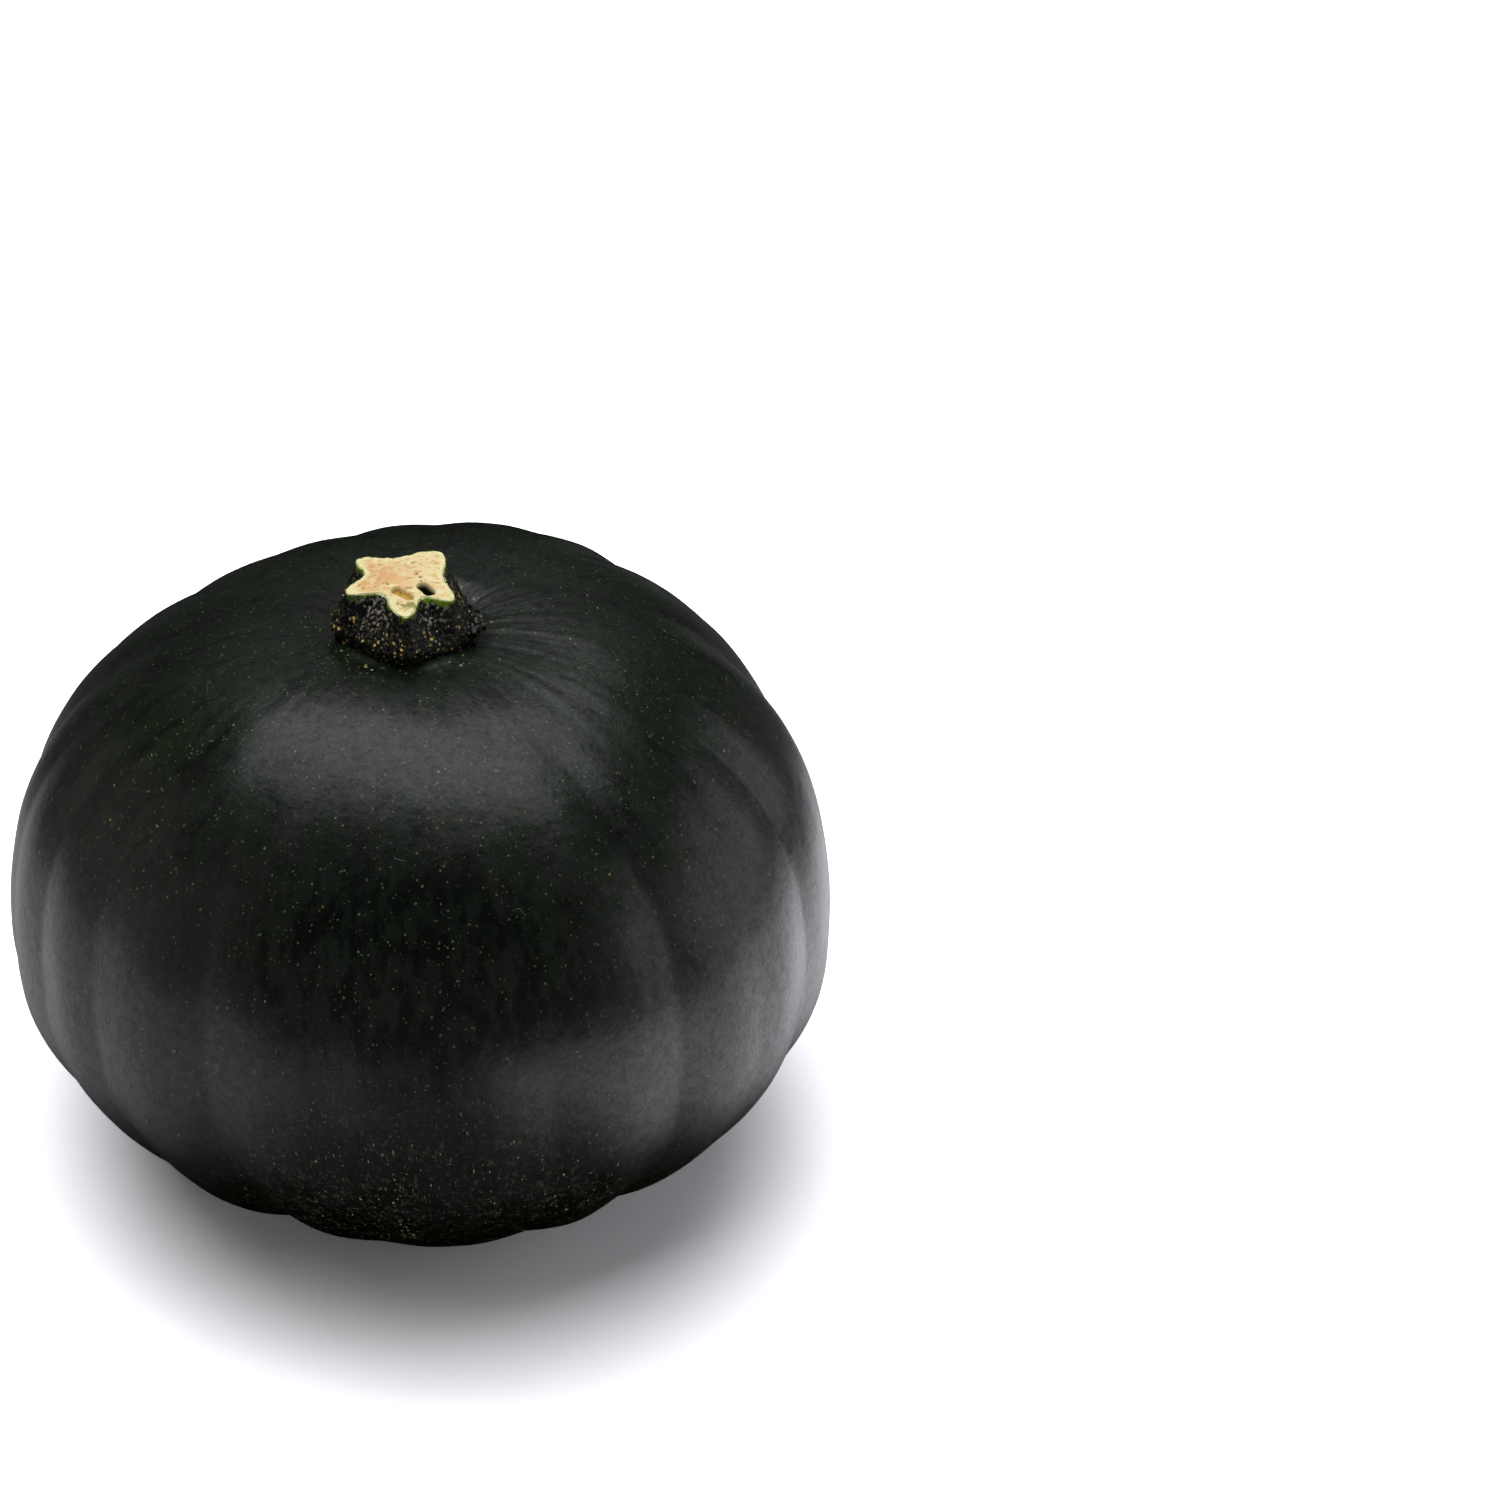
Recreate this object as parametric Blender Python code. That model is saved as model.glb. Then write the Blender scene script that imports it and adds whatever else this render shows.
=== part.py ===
"""A dark green pumpkin as picked: one ribbed fruit, and the stump of stalk it was cut with.

Metres, +Z up. The origin is on the surface the fruit stands on, under the middle of the fruit.
A bearing is an angle round the upright axis, in degrees: 0 is the front, -Y, and 90 is the right, +X.
"""

import math

import bmesh
import bpy

MM = 0.001

# The fruit's body, as a turned crest line that the grooves are then pressed into.
BODY_RADIUS = 87.2 * MM
BODY_OVAL = 1.3 * MM
OVAL_BEARING = 45.0
WAIST_HEIGHT = 56.8 * MM
UPPER_ROUNDNESS = 2.25
LOWER_ROUNDNESS = 1.80

# The shoulder stands higher behind and to the right than it does in front.
SHOULDER_HEIGHT = 129.5 * MM
SHOULDER_LEAN = 2.0 * MM
LEAN_BEARING = 119.0
SHOULDER_SADDLE = 2.8 * MM
SADDLE_BEARING = 135.0
SHOULDER_FADE = 30.0 * MM

# The dish round the stalk, and the flat seat under it.
DISH_DEPTH = 4.4 * MM
DISH_RADIUS = 20.0 * MM
SEAT_RADIUS = 13.2 * MM
SEAT_BLEND = 5.0 * MM
STALK_PLACE = (-3.6 * MM, 1.0 * MM)

# The foot: the body's own lowest point would lie FOOT_TRIM under the ground, but a hollow round the
# blossom scar lifts it, and what is left below the ground is pressed flat.
FOOT_TRIM = 6.2 * MM
HOLLOW_DEPTH = 10.0 * MM
HOLLOW_RADIUS = 19.0 * MM
SCAR_EDGE = (2.7 * MM, 6.3 * MM)
SCAR_RISE = 1.0 * MM
SCAR_PLACE = (3.0 * MM, -9.5 * MM)

# Each groove: its bearing on the shoulder, its depth there, and its depth on the flank below the waist.
# Deep ones part the lobes, and the shallow ones between them only crease a lobe.
GROOVES = (
    (-165.0, 1.7 * MM, 2.0 * MM),
    (-149.0, 0.8 * MM, 1.0 * MM),
    (-133.0, 1.6 * MM, 2.0 * MM),
    (-119.0, 0.7 * MM, 1.0 * MM),
    (-103.0, 1.9 * MM, 2.2 * MM),
    (-88.0, 1.3 * MM, 1.9 * MM),
    (-71.0, 1.6 * MM, 2.0 * MM),
    (-55.5, 1.5 * MM, 2.3 * MM),
    (-34.0, 1.9 * MM, 2.7 * MM),
    (-14.5, 0.8 * MM, 0.9 * MM),
    (17.5, 0.7 * MM, 1.4 * MM),
    (38.0, 2.0 * MM, 2.7 * MM),
    (55.0, 0.5 * MM, 0.8 * MM),
    (71.0, 1.9 * MM, 2.2 * MM),
    (88.0, 0.4 * MM, 0.6 * MM),
    (107.0, 2.3 * MM, 2.4 * MM),
    (120.5, 0.6 * MM, 0.9 * MM),
    (135.0, 2.3 * MM, 2.4 * MM),
    (152.0, 1.0 * MM, 1.2 * MM),
    (176.0, 1.6 * MM, 1.9 * MM),
)
GROOVE_BROAD = 6.0
GROOVE_NARROW = 2.4
NARROW_SHARE = 0.4
DEPTH_TURNS = (-25.0, 35.0)
TOP_FADE = (15.0 * MM, 46.0 * MM)
FOOT_FADE = (8.0 * MM, 38.0 * MM)

# Going down, the grooves draw towards this bearing, because the blossom end lies off to that side.
DRAW_BEARING = 18.0
DRAW_ANGLE = 13.4
DRAW_TURNS = (-35.0, 45.0)

# The body's mesh: the spacing of its columns, the turns of its rings, both in degrees, and the radius
# of the rings that shape the seat and the foot.
COLUMN_SPACING = 3.7
COLUMN_CROWDING = 0.45
SEAT_RINGS = (SEAT_RADIUS, 15.0 * MM, 17.5 * MM)
CREST_TURNS = tuple(range(74, -69, -7))
FOOT_RINGS = (27.5 * MM, 24.0 * MM, 20.5 * MM, 16.5 * MM, 12.0 * MM, 8.0 * MM, 5.0 * MM, 2.8 * MM)

# The stalk's cut outline: bearing and radius, five corners with a notch after each.
CUT_OUTLINE = (
    (2.0, 11.6 * MM),
    (32.0, 6.6 * MM),
    (58.0, 11.2 * MM),
    (100.0, 8.0 * MM),
    (144.0, 12.3 * MM),
    (191.0, 8.4 * MM),
    (233.0, 12.2 * MM),
    (255.0, 8.4 * MM),
    (292.0, 12.3 * MM),
    (318.0, 5.8 * MM),
)
STALK_HEIGHT = 10.2 * MM
CUT_SLANT = 3.0
FOOT_RADIUS = 14.7 * MM
FOOT_RIB_SHARE = 0.28
FOOT_BULGE_HEIGHT = 2.0 * MM
UNDERSIDE_RADIUS = 12.8 * MM
STALK_TAPER = (-0.25, 1.15)
SEAT_GAP = 0.3 * MM
STALK_COLUMNS = 60
STALK_LEVELS = 9
BULGE_LEVELS = 4
CUT_RINGS = (0.88, 0.66, 0.42, 0.2)
CUT_LIP = 0.25 * MM

# The chip torn out of the cut: its place on the cut, its radius and its depth.
CHIP_PLACE = (2.6 * MM, -3.4 * MM)
CHIP_RADIUS = 2.6 * MM
CHIP_DEPTH = 1.3 * MM

# The finishes: a near-black green skin with a satin wax bloom, and dark corky bark.
SKIN_COLOUR = (0.012, 0.022, 0.013)
SKIN_ROUGHNESS = 0.38
BARK_COLOUR = (0.035, 0.038, 0.018)
BARK_ROUGHNESS = 0.75
SHARP_ANGLE = 50.0


def clear_scene():
    for item in list(bpy.data.objects):
        bpy.data.objects.remove(item)


def ease(value, low, high):
    """0 below low, 1 above high, and a smooth step between them."""
    share = min(1.0, max(0.0, (value - low) / (high - low)))
    return share * share * (3.0 - 2.0 * share)


def hill(distance, width):
    """A round hill, 1 at the middle."""
    return math.exp(-((distance / width) ** 2))


def turn_between(bearing, other):
    """The signed angle from one bearing to another, from -180 to 180."""
    return (bearing - other + 180.0) % 360.0 - 180.0


def body_radius(bearing):
    return BODY_RADIUS + BODY_OVAL * math.cos(2.0 * math.radians(bearing - OVAL_BEARING))


def shoulder_height(bearing, radius):
    """The crest line's top for a bearing. Its unevenness fades out towards the stalk."""
    lean = SHOULDER_LEAN * math.cos(math.radians(bearing - LEAN_BEARING))
    saddle = SHOULDER_SADDLE * math.cos(2.0 * math.radians(bearing - SADDLE_BEARING))
    return SHOULDER_HEIGHT + (lean + saddle) * (1.0 - hill(radius, SHOULDER_FADE))


def drawn_bearing(bearing, turn):
    """Where a line that starts at this bearing on the shoulder has drawn to, lower down."""
    pull = 1.0 - ease(turn, *DRAW_TURNS)
    return bearing - DRAW_ANGLE * math.sin(math.radians(bearing - DRAW_BEARING)) * pull


def groove_depth(bearing, turn, radius):
    """How far the grooves press in along the line that starts at a bearing."""
    if turn > 0.0:
        strength = ease(radius, *TOP_FADE)
    else:
        strength = ease(radius, *FOOT_FADE)
    above = ease(turn, *DEPTH_TURNS)
    depth = 0.0
    for middle, on_shoulder, on_flank in GROOVES:
        away = abs(turn_between(bearing, middle))
        valley = (1.0 - NARROW_SHARE) * hill(away, GROOVE_BROAD)
        valley += NARROW_SHARE * math.exp(-away / GROOVE_NARROW)
        depth += valley * (on_flank + (on_shoulder - on_flank) * above)
    return depth * strength


def seat_height():
    return SHOULDER_HEIGHT - DISH_DEPTH * hill(SEAT_RADIUS, DISH_RADIUS)


def body_point(turn, line):
    """A point of the skin: turn is 90 at the stalk, 0 at the waist and -90 at the blossom end, and
    line is the bearing on the shoulder of the line down the fruit that it lies on."""
    angle = math.radians(turn)
    across = max(0.0, math.cos(angle))
    lift = abs(math.sin(angle))
    bearing = drawn_bearing(line, turn)
    full = body_radius(bearing)
    if turn > 0.0:
        radius = full * across ** (2.0 / UPPER_ROUNDNESS)
        rise = shoulder_height(bearing, radius) - WAIST_HEIGHT
        height = WAIST_HEIGHT + rise * lift ** (2.0 / UPPER_ROUNDNESS)
        height -= DISH_DEPTH * hill(radius, DISH_RADIUS)
        height += (seat_height() - height) * (1.0 - ease(radius, SEAT_RADIUS, SEAT_RADIUS + SEAT_BLEND))
        pole = STALK_PLACE
    else:
        radius = full * across ** (2.0 / LOWER_ROUNDNESS)
        rise = WAIST_HEIGHT + FOOT_TRIM
        height = WAIST_HEIGHT - rise * lift ** (2.0 / LOWER_ROUNDNESS)
        height += HOLLOW_DEPTH * hill(radius, HOLLOW_RADIUS)
        height -= SCAR_RISE * (1.0 - ease(radius, *SCAR_EDGE))
        pole = SCAR_PLACE
    out = across / full
    up = math.sin(angle) / rise
    depth = groove_depth(line, turn, radius) / math.hypot(out, up)
    towards_pole = (1.0 - radius / full) ** 2
    radius -= depth * out
    height -= depth * up
    heading = math.radians(bearing)
    return (
        radius * math.sin(heading) + pole[0] * towards_pole,
        -radius * math.cos(heading) + pole[1] * towards_pole,
        max(0.0, height),
    )


def turn_at(radius, roundness):
    """The turn, in degrees, at which the crest line has this radius."""
    return math.degrees(math.acos((radius / BODY_RADIUS) ** (roundness / 2.0)))


def body_lines():
    """The mesh's columns: one falls on each groove, and they crowd beside it to keep it crisp."""
    found = []
    for here, after in zip(GROOVES, GROOVES[1:] + GROOVES[:1]):
        gap = (after[0] - here[0]) % 360.0
        steps = round(gap / COLUMN_SPACING)
        for step in range(steps):
            share = step / steps
            share -= COLUMN_CROWDING * math.sin(2.0 * math.pi * share) / (2.0 * math.pi)
            found.append(here[0] + gap * share)
    return found


def skin_rings(bm, rings, top, bottom):
    """Joins rings of vertices into a closed body, with a fan to the vertex at each end."""
    count = len(rings[0])
    for upper, lower in zip(rings, rings[1:]):
        for column in range(count):
            beside = (column + 1) % count
            bm.faces.new((upper[column], lower[column], lower[beside], upper[beside]))
    for column in range(count):
        beside = (column + 1) % count
        bm.faces.new((top, rings[0][column], rings[0][beside]))
        bm.faces.new((bottom, rings[-1][beside], rings[-1][column]))


def finish_mesh(bm, name, material):
    """Turns a bmesh into a smooth-shaded object with its faces pointing out."""
    bmesh.ops.recalc_face_normals(bm, faces=bm.faces)
    mesh = bpy.data.meshes.new(name)
    bm.to_mesh(mesh)
    bm.free()
    mesh.shade_smooth()
    mesh.set_sharp_from_angle(angle=math.radians(SHARP_ANGLE))
    mesh.materials.append(material)
    made = bpy.data.objects.new(name, mesh)
    bpy.context.scene.collection.objects.link(made)
    return made


def plain_material(name, colour, roughness):
    material = bpy.data.materials.new(name)
    material.use_nodes = True
    shader = material.node_tree.nodes["Principled BSDF"]
    shader.inputs["Base Color"].default_value = (*colour, 1.0)
    shader.inputs["Roughness"].default_value = roughness
    shader.inputs["Metallic"].default_value = 0.0
    return material


def make_fruit(material):
    """The whole fruit, from the stalk's seat over the lobes to the blossom scar."""
    turns = [turn_at(radius, UPPER_ROUNDNESS) for radius in SEAT_RINGS]
    turns += CREST_TURNS
    turns += [-turn_at(radius, LOWER_ROUNDNESS) for radius in FOOT_RINGS]
    lines = body_lines()
    bm = bmesh.new()
    rings = [[bm.verts.new(body_point(turn, line)) for line in lines] for turn in turns]
    top = bm.verts.new(body_point(90.0, 0.0))
    bottom = bm.verts.new(body_point(-90.0, 0.0))
    skin_rings(bm, rings, top, bottom)
    return finish_mesh(bm, "fruit", material)


def cut_radius(bearing):
    """The star outline of the cut: an eased curve from each corner to the next notch and back."""
    for here, after in zip(CUT_OUTLINE, CUT_OUTLINE[1:] + CUT_OUTLINE[:1]):
        gap = (after[0] - here[0]) % 360.0
        passed = (bearing - here[0]) % 360.0
        if passed < gap:
            return here[1] + (after[1] - here[1]) * ease(passed, 0.0, gap)
    return CUT_OUTLINE[0][1]


def mean_cut_radius():
    return sum(radius for _, radius in CUT_OUTLINE) / len(CUT_OUTLINE)


def foot_radius(bearing):
    """The swollen foot, which still shows the ribs a little."""
    return FOOT_RADIUS + FOOT_RIB_SHARE * (cut_radius(bearing) - mean_cut_radius())


def stalk_side(bearing, level):
    """Radius and height on the stalk's side above the bulge, for a level from 0 to 1."""
    foot = foot_radius(bearing)
    radius = foot + (cut_radius(bearing) - foot) * ease(level, *STALK_TAPER)
    return radius, FOOT_BULGE_HEIGHT + (STALK_HEIGHT - FOOT_BULGE_HEIGHT) * level


def stalk_foot(bearing, level):
    """Radius and height on the rounded underside of the bulge, for a level from 0 to 1."""
    foot = stalk_side(bearing, 0.0)[0]
    angle = 0.5 * math.pi * level
    radius = UNDERSIDE_RADIUS + (foot - UNDERSIDE_RADIUS) * math.sin(angle)
    return radius, FOOT_BULGE_HEIGHT * (1.0 - math.cos(angle))


def cut_height(x, y):
    """How far the cut face departs from a level face at the stalk's height."""
    slant = math.tan(math.radians(CUT_SLANT)) * y
    chip = CHIP_DEPTH * hill(math.hypot(x - CHIP_PLACE[0], y - CHIP_PLACE[1]), CHIP_RADIUS)
    return slant - chip


def stalk_vertex(bm, radius, height, bearing, slanted):
    """A vertex of the stalk. slanted is 1 where it follows the cut's slant and 0 at the foot."""
    heading = math.radians(bearing)
    x = radius * math.sin(heading)
    y = -radius * math.cos(heading)
    return bm.verts.new((x, y, height + slanted * cut_height(x, y)))


def make_stalk(material):
    """The stump of stalk: a round swollen foot that narrows upwards into five corners."""
    bearings = [360.0 * column / STALK_COLUMNS for column in range(STALK_COLUMNS)]
    bm = bmesh.new()
    rings = []
    for share in reversed(CUT_RINGS):
        rings.append(
            [stalk_vertex(bm, share * cut_radius(b), STALK_HEIGHT + CUT_LIP, b, 1.0) for b in bearings]
        )
    for step in range(STALK_LEVELS, -1, -1):
        level = step / STALK_LEVELS
        rings.append([stalk_vertex(bm, *stalk_side(b, level), b, level) for b in bearings])
    for step in range(BULGE_LEVELS - 1, -1, -1):
        level = step / BULGE_LEVELS
        rings.append([stalk_vertex(bm, *stalk_foot(b, level), b, 0.0) for b in bearings])
    top = stalk_vertex(bm, 0.0, STALK_HEIGHT + CUT_LIP, 0.0, 1.0)
    bottom = stalk_vertex(bm, 0.0, 0.0, 0.0, 0.0)
    skin_rings(bm, rings, top, bottom)
    return finish_mesh(bm, "stalk", material)


def middle_of(made):
    """The middle of an object's box, seen from above."""
    across = [vertex.co.x for vertex in made.data.vertices]
    along = [vertex.co.y for vertex in made.data.vertices]
    return 0.5 * (min(across) + max(across)), 0.5 * (min(along) + max(along))


def main():
    clear_scene()
    skin = plain_material("skin", SKIN_COLOUR, SKIN_ROUGHNESS)
    bark = plain_material("stalk_bark", BARK_COLOUR, BARK_ROUGHNESS)
    fruit = make_fruit(skin)
    stalk = make_stalk(bark)
    x, y = middle_of(fruit)
    fruit.location = (-x, -y, 0.0)
    stalk.location = (STALK_PLACE[0] - x, STALK_PLACE[1] - y, seat_height() + SEAT_GAP)


main()
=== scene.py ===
"""The looks of a dark green pumpkin as picked: its skin, the cut stump of stalk, and what clings to them.

Metres, +Z up, in the frame's own place. A bearing is an angle round the upright axis, in degrees: 0 is
the front, -Y, and 90 is the right, +X.
"""

import math

import bpy
from mathutils import Matrix, Vector


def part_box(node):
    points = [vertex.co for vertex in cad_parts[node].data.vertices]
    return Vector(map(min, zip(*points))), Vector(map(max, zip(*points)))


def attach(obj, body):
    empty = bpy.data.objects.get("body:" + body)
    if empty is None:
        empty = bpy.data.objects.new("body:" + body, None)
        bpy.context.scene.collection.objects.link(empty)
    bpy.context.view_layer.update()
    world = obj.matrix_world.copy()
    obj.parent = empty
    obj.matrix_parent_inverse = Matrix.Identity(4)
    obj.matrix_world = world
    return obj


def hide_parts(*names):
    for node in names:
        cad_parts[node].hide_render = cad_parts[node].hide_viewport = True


MM = 0.001

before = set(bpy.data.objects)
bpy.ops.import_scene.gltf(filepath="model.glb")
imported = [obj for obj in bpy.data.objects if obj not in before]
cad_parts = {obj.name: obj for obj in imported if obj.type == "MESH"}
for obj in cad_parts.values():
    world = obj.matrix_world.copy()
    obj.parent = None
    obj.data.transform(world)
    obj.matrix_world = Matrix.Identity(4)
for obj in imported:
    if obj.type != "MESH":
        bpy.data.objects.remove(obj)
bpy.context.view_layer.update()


# The fruit
# One grown body: a thick fleshy wall under a hard waxy skin, near-black green with fine pale flecks.
# Some twenty grooves run down it from the stalk and draw together at the blossom end, which it stands on.
# Nothing fixes it: it rests on the low ends of its lobes.

BODY_RADIUS = 87.2 * MM
BODY_OVAL = 1.3 * MM
OVAL_BEARING = 45.0
WAIST_HEIGHT = 56.8 * MM
UPPER_ROUNDNESS = 2.25
LOWER_ROUNDNESS = 1.80
ROUNDNESS_TURNS = (-22.0, 22.0)
SHOULDER_HEIGHT = 129.5 * MM
SHOULDER_LEAN = 2.0 * MM
LEAN_BEARING = 119.0
SHOULDER_SADDLE = 2.8 * MM
SADDLE_BEARING = 135.0
SHOULDER_FADE = 30.0 * MM
DISH_DEPTH = 4.4 * MM
DISH_RADIUS = 20.0 * MM
SEAT_RADIUS = 13.2 * MM
SEAT_BLEND = 5.0 * MM
STALK_PLACE = (-3.6 * MM, 1.0 * MM)
FOOT_TRIM = 6.2 * MM
HOLLOW_DEPTH = 10.0 * MM
HOLLOW_RADIUS = 19.0 * MM
SCAR_EDGE = (2.7 * MM, 6.3 * MM)
SCAR_RISE = 1.0 * MM
SCAR_PLACE = (3.0 * MM, -9.5 * MM)

# Each groove: its bearing on the shoulder, its depth there, and its depth on the flank below the waist.
GROOVES = (
    (-165.0, 1.7 * MM, 2.0 * MM),
    (-149.0, 0.8 * MM, 1.0 * MM),
    (-133.0, 1.6 * MM, 2.0 * MM),
    (-119.0, 0.7 * MM, 1.0 * MM),
    (-103.0, 1.9 * MM, 2.2 * MM),
    (-88.0, 1.3 * MM, 1.9 * MM),
    (-71.0, 1.3 * MM, 1.9 * MM),
    (-55.5, 1.1 * MM, 2.2 * MM),
    (-34.0, 1.1 * MM, 2.5 * MM),
    (-14.5, 0.5 * MM, 0.8 * MM),
    (17.5, 0.5 * MM, 1.3 * MM),
    (38.0, 1.2 * MM, 2.5 * MM),
    (55.0, 0.4 * MM, 0.8 * MM),
    (71.0, 1.4 * MM, 2.1 * MM),
    (88.0, 0.4 * MM, 0.6 * MM),
    (107.0, 2.3 * MM, 2.4 * MM),
    (120.5, 0.6 * MM, 0.9 * MM),
    (135.0, 2.3 * MM, 2.4 * MM),
    (152.0, 1.0 * MM, 1.2 * MM),
    (176.0, 1.6 * MM, 1.9 * MM),
)
GROOVE_BROAD = 7.0
GROOVE_NARROW = 2.4
NARROW_SHARE = 0.25
DEPTH_TURNS = (-25.0, 35.0)
TOP_FADE = (30.0 * MM, 76.0 * MM)
FOOT_FADE = (8.0 * MM, 38.0 * MM)
DRAW_BEARING = 18.0
DRAW_ANGLE = 13.4
DRAW_TURNS = (-35.0, 45.0)

# The skin's own unevenness, on top of the grooves: height, and length of one rise and fall.
LUMP = (0.45 * MM, 34.0 * MM)
RIPPLE = (0.12 * MM, 11.0 * MM)
WRINKLE = (0.018 * MM, 6.0 * MM)
WRINKLE_FADE = (50.0 * MM, 17.0 * MM)
MOAT = (0.4 * MM, 15.4 * MM, 1.8 * MM)
ARC_PER_DEGREE = 1.45 * MM
COLUMNS = 420
RINGS = 218
WELD = 0.01 * MM


class Wire:
    """A socket in a node tree. Sums with it add Math nodes, and node() adds a node of any other kind."""

    def __init__(self, tree, socket=None):
        self.tree = tree
        self.socket = socket

    def node(self, kind, settings=None, sockets=None, output=0):
        """Adds a node: first its settings, then a value or a Wire for each socket that is named."""
        made = self.tree.nodes.new(kind)
        for name, value in (settings or {}).items():
            setattr(made, name, value)
        for name, value in (sockets or {}).items():
            if isinstance(value, Wire):
                self.tree.links.new(value.socket, made.inputs[name])
            else:
                made.inputs[name].default_value = value
        return Wire(self.tree, made.outputs[output] if made.outputs else None)

    def beside(self, output):
        """Another output of the node that this one comes from."""
        return Wire(self.tree, self.socket.node.outputs[output])

    def math(self, operation, *values):
        return self.node("ShaderNodeMath", {"operation": operation}, dict(enumerate(values)))

    def __add__(self, other):
        return self.math("ADD", self, other)

    def __radd__(self, other):
        return self.math("ADD", other, self)

    def __sub__(self, other):
        return self.math("SUBTRACT", self, other)

    def __rsub__(self, other):
        return self.math("SUBTRACT", other, self)

    def __mul__(self, other):
        return self.math("MULTIPLY", self, other)

    def __rmul__(self, other):
        return self.math("MULTIPLY", other, self)

    def __truediv__(self, other):
        return self.math("DIVIDE", self, other)

    def __rtruediv__(self, other):
        return self.math("DIVIDE", other, self)

    def __pow__(self, power):
        return self.math("POWER", self, power)

    def __abs__(self):
        return self.math("ABSOLUTE", self)

    def __lt__(self, other):
        return self.math("LESS_THAN", self, other)

    def __gt__(self, other):
        return self.math("GREATER_THAN", self, other)


def ease(value, low, high):
    """0 at low, 1 at high, and a smooth step between them. Low may be the larger one."""
    return value.node(
        "ShaderNodeMapRange",
        {"interpolation_type": "SMOOTHSTEP"},
        {"Value": value, "From Min": low, "From Max": high},
    )


def hill(distance, width):
    """A round hill, 1 at the middle."""
    share = distance / width
    return value_exp(0.0 - share * share)


def value_exp(value):
    return value.math("EXPONENT", value)


def sine(degrees):
    return degrees.math("SINE", degrees * math.radians(1.0))


def cosine(degrees):
    return degrees.math("COSINE", degrees * math.radians(1.0))


def pick(mask, low, high):
    """Low where the mask is 0 and high where it is 1."""
    return low + (high - low) * mask


def length_of(across, along):
    return across.math("SQRT", across * across + along * along)


def part_of(vector, axis):
    return vector.node("ShaderNodeSeparateXYZ", None, {"Vector": vector}, axis)


def vector_of(x, y, z):
    return z.node("ShaderNodeCombineXYZ", None, {"X": x, "Y": y, "Z": z})


def stretched(vector, x, y, z):
    return vector.node("ShaderNodeVectorMath", {"operation": "MULTIPLY"}, {0: vector, 1: (x, y, z)})


def scaled(vector, factor):
    return vector.node("ShaderNodeVectorMath", {"operation": "SCALE"}, {0: vector, "Scale": factor})


def noise(vector, size, detail=2.0, roughness=0.5):
    """Cloudy noise round 0.5. Size is the length of one rise and fall."""
    return vector.node(
        "ShaderNodeTexNoise",
        None,
        {"Vector": vector, "Scale": 1.0 / size, "Detail": detail, "Roughness": roughness},
    )


def swing(vector, size, height, detail=2.0):
    """Noise as a height to either side of nothing."""
    return (noise(vector, size, detail) - 0.5) * (2.0 * height)


def nudge(shape, offset):
    return shape.node("GeometryNodeSetPosition", None, {"Geometry": shape, "Offset": offset})


def place_at(shape, position):
    return shape.node("GeometryNodeSetPosition", None, {"Geometry": shape, "Position": position})


def start_tree(name, inputs):
    """A Geometry Nodes tree with these named inputs, and a Wire from each of them."""
    tree = bpy.data.node_groups.new(name, "GeometryNodeTree")
    tree.interface.new_socket(name="Geometry", in_out="OUTPUT", socket_type="NodeSocketGeometry")
    for label, kind in inputs.items():
        tree.interface.new_socket(name=label, in_out="INPUT", socket_type=kind)
    entry = tree.nodes.new("NodeGroupInput")
    return {label: Wire(tree, entry.outputs[label]) for label in inputs}


def store(shape, name, kind, value):
    return shape.node(
        "GeometryNodeStoreNamedAttribute",
        {"data_type": kind, "domain": "POINT"},
        {"Geometry": shape, "Name": name, "Value": value},
    )


def stored(shape, name, kind):
    return shape.node("GeometryNodeInputNamedAttribute", {"data_type": kind}, {"Name": name})


def grow(name, shape, sizes, material):
    """Ends a tree, runs it with these sizes, and keeps the result as a plain mesh at the origin."""
    tree = shape.tree
    smooth = shape.node("GeometryNodeSetShadeSmooth", None, {"Geometry": shape})
    loose = smooth.node("GeometryNodeRealizeInstances", None, {"Geometry": smooth})
    dressed = loose.node("GeometryNodeSetMaterial", None, {"Geometry": loose, "Material": material})
    leave = tree.nodes.new("NodeGroupOutput")
    tree.links.new(dressed.socket, leave.inputs["Geometry"])
    made = bpy.data.objects.new(name, bpy.data.meshes.new(name + "_start"))
    bpy.context.scene.collection.objects.link(made)
    modifier = made.modifiers.new(name, "NODES")
    modifier.node_group = tree
    sockets = {item.name: item.identifier for item in tree.interface.items_tree if item.in_out == "INPUT"}
    for label, size in sizes.items():
        modifier[sockets[label]] = size
    evaluated = made.evaluated_get(bpy.context.evaluated_depsgraph_get())
    mesh = bpy.data.meshes.new_from_object(evaluated)
    mesh.name = name
    made.modifiers.remove(modifier)
    made.data = mesh
    return made


def groove_depth(line, turn, radius, above):
    """How far the grooves press in along the line that starts at this bearing on the shoulder."""
    strength = pick(above, ease(radius, *FOOT_FADE), ease(radius, *TOP_FADE))
    shoulder = ease(turn, *DEPTH_TURNS)
    depth = 0.0
    for middle, on_shoulder, on_flank in GROOVES:
        away = abs(line.math("WRAP", line - middle, 180.0, -180.0))
        valley = (1.0 - NARROW_SHARE) * hill(away, GROOVE_BROAD)
        valley = valley + NARROW_SHARE * value_exp(away / -GROOVE_NARROW)
        depth = depth + valley * (on_flank + (on_shoulder - on_flank) * shoulder)
    return depth * strength


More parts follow.
